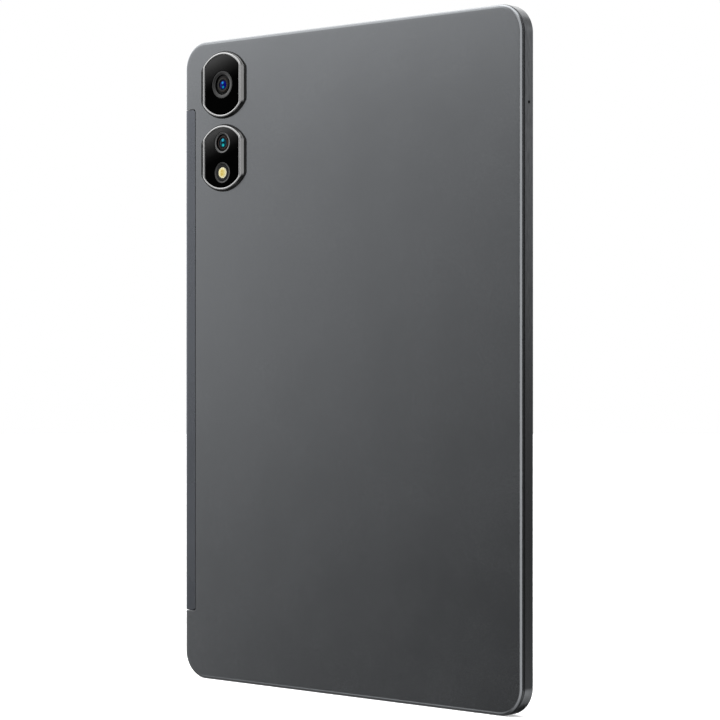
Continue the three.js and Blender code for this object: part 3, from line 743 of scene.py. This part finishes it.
def grille(end, side, surface_at, depth):
    middle = centre_mm(f"speaker_mesh_{end}_{side}").x
    slots = []
    for i in range(GRILLE_SLOTS):
        x = middle + (i - (GRILLE_SLOTS - 1) / 2) * GRILLE_PITCH
        slots.append(mouth("z", slot_shape(GRILLE_WIDTH, GRILLE_HEIGHT, x, PORT_Y), surface_at, depth))
    return slots


def housing_cutters():
    cutters = [strip_region(STRIP_GAP)]
    for end, surface_at, depth in (("bottom", 0, CUT_DEPTH), ("top", HEIGHT, -CUT_DEPTH)):
        for side in ("left", "right"):
            cutters += grille(end, side, surface_at, depth)
    cutters.append(mouth("z", slot_shape(PORT_WIDTH, PORT_HEIGHT, 0, PORT_Y, 12), 0, CUT_DEPTH))
    cutters.append(mouth("z", opening(power_shape), HEIGHT, -CUT_DEPTH))
    side_mic = centre_mm("side_microphone")
    bottom_mic = centre_mm("bottom_microphone")
    cutters.append(mouth("x", hole_shape(MIC_RADIUS, side_mic.y, side_mic.z), RIGHT, -CUT_DEPTH))
    cutters.append(mouth("z", hole_shape(MIC_RADIUS, bottom_mic.x, bottom_mic.y), 0, CUT_DEPTH))
    for middle in (UPPER, LOWER):
        hole = island(HOLE_OUTLINE, middle.x, middle.z)
        cutters.append(prism("y", hole, BACK_Y - PAST, BACK_Y + BACK_THICKNESS + PAST))
    return cutters


def housing():
    made = plain_object("back_shell", shell())
    combined(made, "DIFFERENCE", housing_cutters())
    finish_piece(made, anodised, ["rear_housing"], sharp=30)


def antenna_strip():
    made = plain_object("antenna_window", shell())
    combined(made, "INTERSECT", [strip_region(0)])
    slots = [mouth("x", opening(shape), LEFT, CUT_DEPTH) for shape in (volume_shape, tray_shape)]
    combined(made, "DIFFERENCE", slots)
    finish_piece(made, strip_plastic, ["antenna_strip"], sharp=30)


housing()
antenna_strip()

# Screen ------------------------------------------------------------------------------------------


def glass_outline(grow):
    wide, high = glass_high.x - glass_low.x, glass_high.z - glass_low.z
    return rounded_rect(wide + 2 * grow, high + 2 * grow, GLASS_CORNER + grow, 0, MIDDLE_Z)


def bezel():
    """The display's frame, with a pocket for the glass round its window."""
    low, high = box_mm("display_bezel")
    inset = low.x - LEFT
    window = rounded_rect(*BEZEL_WINDOW, 0, MIDDLE_Z)
    pocket_y = glass_low.y - GLASS_GAP
    rings = [
        (body_outline(inset), low.y), (body_outline(inset), high.y - BEZEL_CHAMFER),
        (body_outline(inset + BEZEL_CHAMFER), high.y), (glass_outline(2 * GLASS_GAP), high.y),
        (glass_outline(GLASS_GAP), high.y - GLASS_GAP), (glass_outline(GLASS_GAP), pocket_y),
        (window, pocket_y), (window, low.y),
    ]
    return loft("y", rings, closed=True)


def screen_plate():
    """The cover glass, chamfered behind and rounded in front."""
    rings = [(-0.1, glass_low.y), (0, glass_low.y + 0.1)]
    for turn in quarter(6):
        rings.append((-GLASS_EDGE * (1 - math.cos(turn)), FRONT_Y - GLASS_EDGE * (1 - math.sin(turn))))
    rings.append((-GLASS_EDGE - GLASS_BAND, FRONT_Y))
    return loft("y", [(glass_outline(grow), y) for grow, y in rings])


piece("screen_frame", bezel(), matt_black, ["display_bezel"])
piece("screen_cover", screen_plate(), screen, ["cover_glass"])

# Camera islands: heights are in millimetres above the back face ----------------------------------


def stacked(middle, steps, closed=False):
    """Skins an island from (outline, height) steps. If closed, they go round the section of a ring."""
    rings = [(island(outline, middle.x, middle.z), BACK_Y - height) for outline, height in steps]
    return loft("y", rings, closed)


def island_ledge(label, middle):
    steps = [
        (HOLE_OUTLINE, 0.02), (BASE_OUTLINE, 0.02), (BASE_OUTLINE, 0.14),
        (grown(BASE_OUTLINE, -0.05), 0.21), (grown(BASE_OUTLINE, -0.13), 0.25), (HOLE_OUTLINE, 0.25),
    ]
    ledge = stacked(middle, steps, closed=True)
    piece("island_ledge_" + label, ledge, ledge_black, ["camera_base_" + label])


def island_trim(label, middle):
    neck = grown(HOLE_OUTLINE, -0.15)
    inner = grown(GLASS_OUTLINE, 0.1)
    steps = [
        (neck, -0.7), (neck, 0.28), (FOOT_OUTLINE, 0.28), (grown(FOOT_OUTLINE, -0.05), 0.36),
        (grown(RIM_OUTLINE, 0.05), TRIM_TOP - 0.15), (grown(RIM_OUTLINE, -0.03), TRIM_TOP - 0.05),
        (grown(RIM_OUTLINE, -0.12), TRIM_TOP), (grown(inner, 0.12), TRIM_TOP),
        (grown(inner, 0.03), TRIM_TOP - 0.04), (inner, TRIM_TOP - 0.15), (inner, -0.7),
    ]
    look = trim_metal("trim_" + label, middle)
    trim = stacked(middle, steps, closed=True)
    piece("island_trim_" + label, trim, look, ["camera_trim_" + label])


def island_glass(label, middle, eyes):
    """The glass, with a countersunk hole for each eye."""
    steps = [
        (GLASS_OUTLINE, 0.4), (GLASS_OUTLINE, 1.03), (grown(GLASS_OUTLINE, -0.05), 1.11),
        (grown(GLASS_OUTLINE, -0.14), GLASS_TOP), (grown(GLASS_OUTLINE, -0.6), GLASS_TOP),
    ]
    made = plain_object("island_glass_" + label, stacked(middle, steps))
    holes = []
    for eye in eyes:
        narrow, wide = eye.hole, eye.hole + 0.12
        sink, flare = GLASS_TOP - 0.06, GLASS_TOP + 0.06
        profile = [(narrow, 0), (narrow, sink), (wide, flare), (wide, GLASS_TOP + PAST)]
        holes.append(turned(profile, eye.at))
    combined(made, "DIFFERENCE", holes)
    look = black_glass("camera_glass_" + label, middle)
    finish_piece(made, look, ["camera_glass_" + label])


def dished_ring(name, eye, replaced, colour):
    """High at its outer edge and lower at its bore, with both edges rounded."""
    outer, bore = eye.ring, eye.bore
    profile = [
        (bore, 0.3), (outer, 0.3), (outer, 0.88), (outer - 0.05, 0.95), (outer - 0.14, 0.99),
        (outer - 0.24, 1.0), (bore + 0.2, 0.83), (bore + 0.08, 0.79), (bore + 0.02, 0.73), (bore, 0.66),
    ]
    look = spun_metal(name, eye.at, colour, 0.3)
    piece(name, turned(profile, eye.at, closed=True), look, [replaced], sharp=50)


def module(name, eye, profile, look, replaced):
    """A turned barrel on the square body that holds it inside the housing."""
    made = plain_object(name, turned_solid(profile, eye.at))
    x, z, half = eye.at.x, eye.at.z, eye.seat
    inner_y = box_mm(replaced)[1].y
    combined(made, "UNION", [block((x - half, SEAT_Y, z - half), (x + half, inner_y, z + half))])
    finish_piece(made, look, [replaced])


def lens_barrel(name, eye, core, replaced, edge_colour):
    """The module's stepped barrel: a black floor, then a core ring whose rim is tinted, round the lens."""
    bore, lens = eye.bore, eye.lens
    profile = [
        (0, BARREL_FLOOR), (bore - 0.1, BARREL_FLOOR), (bore - 0.1, 0.2), (bore - 0.15, 0.25),
        (core + 0.1, 0.25), (core, 0.3), (core, 0.53), (core - 0.03, 0.58), (core - 0.09, 0.6),
        (lens + 0.42, 0.6), (lens + 0.3, 0.56), (lens + 0.2, 0.42), (lens + 0.1, 0.3), (lens + 0.1, 0.05),
        (0, 0.05),
    ]
    module(name, eye, profile, barrel_plastic(name, eye, core, edge_colour), replaced)


def flash_cup():
    """The flash module: a black cup whose well holds the flash's lens."""
    wall, well = FLASH.bore - 0.1, FLASH.lens + 0.1
    profile = [
        (0, BARREL_FLOOR), (wall, BARREL_FLOOR), (wall, 0.78), (wall - 0.06, 0.85),
        (well + 0.07, 0.85), (well, 0.78), (well, 0.3), (0, 0.3),
    ]
    module("flash_cup", FLASH, profile, ledge_black, "flash_module")


def dome(name, eye, heights, look, replaced):
    """A lens: a short cylinder with a domed front. heights are those of its foot, edge and crown."""
    foot, edge, crown = heights
    profile = [(0, foot), (eye.lens, foot), (eye.lens, edge)]
    for turn in quarter(10)[1:]:
        profile.append((eye.lens * math.cos(turn), edge + (crown - edge) * math.sin(turn)))
    piece(name, turned_solid(profile, eye.at, 64), look, [replaced], sharp=60)


for label, middle, eyes in (("upper", UPPER, [MAIN]), ("lower", LOWER, [SECOND, FLASH])):
    island_ledge(label, middle)
    island_trim(label, middle)
    island_glass(label, middle, eyes)

dished_ring("main_ring", MAIN, "main_lens_ring", grey(0.034))
dished_ring("second_ring", SECOND, "second_lens_ring", grey(0.062))
dished_ring("flash_bezel", FLASH, "flash_ring", grey(0.034))

lens_barrel("main_barrel", MAIN, 2.75, "main_camera_module", (0.017, 0.012, 0.009, 1))
lens_barrel("second_barrel", SECOND, 2.5, "second_camera_module", (0.032, 0.014, 0.010, 1))

main_coating = [
    (0.0, (0.0002, 0.0004, 0.006, 1)), (0.25, (0.0002, 0.001, 0.030, 1)), (0.55, (0.0003, 0.001, 0.075, 1)),
    (0.85, (0.0008, 0.0008, 0.060, 1)), (1.0, (0.002, 0.001, 0.025, 1)),
]
# Painted reflection spots in the main lens: place, colour and size of each
main_painted_reflections = [((-0.12, 0.45), (0.004, 0.14, 0.34, 1), 0.40), ((0.05, -0.52), (0.002, 0.13, 0.17, 1), 0.38)]
main_glass = coated_lens("main_lens", MAIN, main_coating, main_painted_reflections)
dome("main_lens_glass", MAIN, LENS_HEIGHTS, main_glass, "main_lens_element")

second_coating = [
    (0.0, (0.0005, 0.0008, 0.0015, 1)), (0.35, (0.0004, 0.003, 0.005, 1)), (0.65, (0.001, 0.02, 0.03, 1)),
    (0.85, (0.002, 0.013, 0.02, 1)), (1.0, (0.003, 0.004, 0.008, 1)),
]
# Painted reflection spots in the second lens: place, colour and size of each
second_painted_reflections = [((-0.05, 0.55), (0.010, 0.19, 0.26, 1), 0.46), ((0.05, -0.5), (0.008, 0.24, 0.25, 1), 0.42)]
second_glass = coated_lens("second_lens", SECOND, second_coating, second_painted_reflections)
dome("second_lens_glass", SECOND, LENS_HEIGHTS, second_glass, "second_lens_element")

flash_look = flash_diffuser("flash_lens", FLASH)
dome("flash_window", FLASH, FLASH_HEIGHTS, flash_look, "flash_lens")
flash_cup()

# Keys and card tray ------------------------------------------------------------------------------


def moving_piece(name, node, body, cap, carrier, cuts=()):
    """A cap joined to the part that carries it inside the housing."""
    made = plain_object(name, cap)
    combined(made, "UNION", [carrier])
    if cuts:
        combined(made, "DIFFERENCE", cuts)
    finish_piece(made, anodised, [node], body)


def power_key():
    low, high = box_mm("power_button")
    cap = bevelled("z", power_shape, POWER_ROOT_Z, high.z, CAP_BEVEL, 5)
    outline = rounded_rect(POWER_FLANGE, FLANGE_WIDTH, FLANGE_CORNER, POWER_X, PORT_Y, 4)
    flange = prism("z", outline, low.z, POWER_FLANGE_Z)
    moving_piece("power_key", "power_button", "power_key", cap, flange)


def volume_key():
    low, high = box_mm("volume_rocker")
    cap = bevelled("x", volume_shape, low.x, VOLUME_ROOT_X, CAP_BEVEL, 5)
    outline = rounded_rect(FLANGE_WIDTH, VOLUME_FLANGE, FLANGE_CORNER, PORT_Y, VOLUME_Z, 4)
    flange = prism("x", outline, VOLUME_FLANGE_X, high.x)
    moving_piece("volume_key", "volume_rocker", "volume_key", cap, flange)


def card_tray():
    """The tray: a cap that closes the slot, and a blade with a pocket for each of two cards."""
    low, high = box_mm("card_tray")
    cap = bevelled("x", tray_shape, low.x, TRAY_ROOT_X, TRAY_BEVEL)
    outline = rounded_rect(BLADE_THICKNESS, BLADE_WIDTH, BLADE_CORNER, TRAY_Y, BLADE_Z, 4)
    blade = prism("x", outline, TRAY_BLADE_X, high.x)
    cuts = []
    for start in POCKET_STARTS:
        middle_x = start + POCKET_LENGTH / 2
        pocket = rounded_rect(POCKET_LENGTH, POCKET_WIDTH, POCKET_CORNER, middle_x, BLADE_Z, 5)
        cuts.append(prism("y", pocket, low.y - PAST, high.y + PAST))
    cuts.append(mouth("x", hole_shape(PINHOLE_RADIUS, TRAY_Y, PINHOLE_Z), LEFT, PINHOLE_DEPTH))
    moving_piece("sim_tray", "card_tray", "tray", cap, blade, cuts)


power_key()
volume_key()
card_tray()

# Port --------------------------------------------------------------------------------------------


def port_shell():
    """A stadium-shaped sleeve, open at its mouth and rolled inwards there."""
    low, high = box_mm("usb_c_shell")
    outer = slot_shape(high.x - low.x, high.y - low.y, 0, PORT_Y, 14)
    rings = [
        (0, high.z), (0, low.z + 0.12), (-0.04, low.z + 0.03), (-0.1, low.z), (-0.2, low.z),
        (-0.27, low.z + 0.05), (-PORT_WALL, low.z + 0.15), (-PORT_WALL, high.z - 0.6),
    ]
    return loft("z", [(outer(grow), z) for grow, z in rings])


def port_tongue(low, high):
    def shape(grow):
        wide, deep = high.x - low.x + 2 * grow, high.y - low.y + 2 * grow
        return rounded_rect(wide, deep, 0.2 + grow / 2, 0, PORT_Y, 4)

    return bevelled("z", shape, low.z, high.z, 0.12)


def port_contacts(low, high):
    """A row of gold pads on each face of the tongue."""
    reach_x, reach_y = CONTACT_WIDTH / 2, CONTACT_DEPTH / 2
    start, end = low.z + 0.35, high.z - 1.5
    pads = []
    for i in range(CONTACTS):
        x = (i - (CONTACTS - 1) / 2) * CONTACT_PITCH
        for y in (low.y, high.y):
            pads.append(block((x - reach_x, y - reach_y, start), (x + reach_x, y + reach_y, end)))
    return merged(pads)


tongue_low, tongue_high = box_mm("usb_c_tongue")
piece("port_shell", port_shell(), steel, ["usb_c_shell"])
piece("port_tongue", port_tongue(tongue_low, tongue_high), matt_black, ["usb_c_tongue"])
piece("port_contacts", port_contacts(tongue_low, tongue_high), gold)

# Pieces kept from the frame ----------------------------------------------------------------------

board_green = surface("circuit_board", (0.010, 0.060, 0.030, 1), 0.4, 0.5, 0.01, 0.25)
copper_film = surface("copper_flex", (0.42, 0.17, 0.045, 1), 0.4, 0.3, 0.004, 0.15)
foil = surface("cell_foil", (0.030, 0.032, 0.036, 1), 0.45, 0.8, 0.02, 0.2)
reflector = surface("reflector_film", (0.82, 0.82, 0.80, 1), 0.5, 0.4, 0.003, 0.03)
panel_glass = surface("panel_glass", (0.012, 0.013, 0.016, 1), 0.12, 0.2, 0.0005, 0.2)
support_sheet = brushed("support_sheet", (0.50, 0.50, 0.52, 1), 0.35, 0.3, 0.002, (0.05, 1, 1))
speaker_cloth = cloth("speaker_cloth")
KEPT = {
    "battery_cell_": foil,
    "battery_board": board_green, "main_board": board_green, "sub_board": board_green,
    "main_flex": copper_film, "display_flex": copper_film, "key_flex": copper_film,
    "backlight_unit": reflector, "lcd_panel": panel_glass, "support_plate": support_sheet,
    "speaker_mesh_": speaker_cloth, "speaker_": matt_black, "front_camera_module": matt_black,
}  # by how a node's name starts. The first that fits counts, and the rest are steel
for name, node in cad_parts.items():
    look = next((made for start, made in KEPT.items() if name.startswith(start)), steel)
    for holder in node.material_slots:
        holder.material = look

# Floor, lights and camera ------------------------------------------------------------------------

FLOOR_RADIUS, FLOOR_THICKNESS = 3000, 2
FLOOR_GLOW = 0.35
LEVEL_TOP = 5.0  # brightest level a ramp can hold

# Brightness by direction round the tablet: degrees from straight behind it towards its right side
AROUND = [
    (-180, 0.3), (-150, 0.8), (-120, 3.6), (-85, 4.8), (-58, 3.0), (-40, 0.86), (-31, 0.22), (-18, 0.2),
    (-10, 3.3), (38, 3.3), (54, 0.3), (60, 0.05), (77, 0.05), (83, 0.55), (98, 0.55), (104, 0.05),
    (123, 0.05), (137, 0.45), (146, 1.1), (153, 0.4), (164, 0.35), (172, 0.4), (180, 0.3),
]

# Brightness by degrees above the horizon, in four sectors round the tablet
UP_LEFT = [
    (-90, 0.1), (-30, 0.08), (-19, 0.12), (-11, 0.45), (-4, 0.62), (2, 1.0), (8, 1.05), (14, 1.0),
    (24, 0.9), (40, 0.9), (90, 1.2),
]
UP_BACK = [
    (-90, 0.1), (-50, 0.2), (-36, 3.4), (-26, 3.4), (-17, 0.3), (-12, 0.08), (-6, 0.12), (2, 0.94),
    (8, 0.86), (14, 1.4), (21, 3.2), (36, 3.2), (90, 2.8),
]
UP_EVEN = [(-90, 0.2), (-40, 0.4), (-12, 0.72), (8, 0.85), (22, 0.85), (36, 0.9), (90, 0.9)]
UP_SIDE = [
    (-90, 0.3), (-54, 0.5), (-38, 1.8), (-22, 1.6), (-14, 1.2), (-10, 0.4), (-6, 0.1), (-2, 0.2),
    (2, 0.56), (8, 0.94), (22, 1.15), (36, 1.5), (90, 1.6),
]

# The directions over which each sector takes over from the one before. The first is UP_LEFT too
SECTORS = [((-56, -34), UP_BACK), ((-26, -14), UP_EVEN), ((46, 60), UP_SIDE), ((165, 179), UP_LEFT)]

# Camera, from the photograph's straight edges
LENS_LENGTH, SENSOR_WIDTH = 110.84, 36
CAMERA_X, CAMERA_Y = 0.5491, -0.6484
CAMERA_TURN = 39.967


def stage_floor():
    made = plain_object("floor", prism("z", circle(FLOOR_RADIUS, 0, 0, 96), -FLOOR_THICKNESS, 0))
    look = Look("floor", Roughness=0.9)
    look.set("Base Color", look.mix(look.noise(400, 2), grey(0.90), grey(0.93)))
    look.set("Emission Color", grey(1.0))
    look.shader.inputs["Emission Strength"].default_value = FLOOR_GLOW
    made.data.materials.append(look.material)
    made.visible_glossy = False


def area_light(name, place, aim, size, power):
    data = bpy.data.lights.new(name, "AREA")
    data.shape = "RECTANGLE"
    data.size, data.size_y = size
    data.energy = power
    made = bpy.data.objects.new(name, data)
    made.location = place
    made.rotation_euler = (Vector(aim) - Vector(place)).to_track_quat("-Z", "Y").to_euler()
    made.visible_camera = False
    bpy.context.scene.collection.objects.link(made)


def surroundings():
    """A soft studio: light and dark by direction, and plain white where the camera sees past the object."""
    world = bpy.data.worlds.new("studio")
    bpy.context.scene.world = world
    world.use_nodes = True
    world.node_tree.nodes.clear()
    sky = Nodes(world.node_tree)
    x, y, z = sky.axes(sky.make("TexCoord").outputs["Generated"])
    turn = sky.calculate("ARCTAN2", x, sky.calculate("MULTIPLY", y, -1.0))
    rise = sky.calculate("ARCSINE", z)

    def levels(angle, stops, limit):
        """Brightness by an angle between -limit and limit degrees."""
        share = sky.span(angle, -math.radians(limit), math.radians(limit))
        places = [((at + limit) / (2 * limit), grey(level / LEVEL_TOP)) for at, level in stops]
        return sky.ramp(share, places, "EASE")

    upwards = levels(rise, UP_LEFT, 90)
    for (start, end), stops in SECTORS:
        blend = sky.make("Mix", sky.span(turn, math.radians(start), math.radians(end)))
        sky.feed(blend.inputs[2], upwards)
        sky.feed(blend.inputs[3], levels(rise, stops, 90))
        upwards = blend.outputs[0]
    both = sky.calculate("MULTIPLY", levels(turn, AROUND, 180), upwards)
    lit = sky.node("Background", (1, 1, 1, 1), sky.calculate("MULTIPLY", both, LEVEL_TOP * LEVEL_TOP))
    plain = sky.node("Background", (1, 1, 1, 1), 1.0)
    seen = sky.make("LightPath").outputs["Is Camera Ray"]
    sky.make("OutputWorld", sky.node("MixShader", seen, lit, plain))


def add_camera():
    data = bpy.data.cameras.new("camera")
    data.lens = LENS_LENGTH
    data.sensor_width = SENSOR_WIDTH
    data.clip_start = 0.01
    made = bpy.data.objects.new("camera", data)
    made.location = (CAMERA_X, CAMERA_Y, MIDDLE_Z * MM)
    made.rotation_euler = (math.radians(90), 0, math.radians(CAMERA_TURN))
    bpy.context.scene.collection.objects.link(made)
    bpy.context.scene.camera = made


stage_floor()
surroundings()
area_light("key", (-0.75, -0.85, 0.75), (0, 0, 0.15), (0.7, 0.7), 1.7)
area_light("behind", (-0.35, 1.1, 1.05), (0, 0, 0.2), (1.3, 0.6), 3)
area_light("top", (0, -0.2, 1.2), (0, 0, 0.2), (1.2, 0.8), 10)
add_camera()
bpy.context.scene.view_settings.view_transform = "Standard"
bpy.context.scene.view_settings.look = "None"
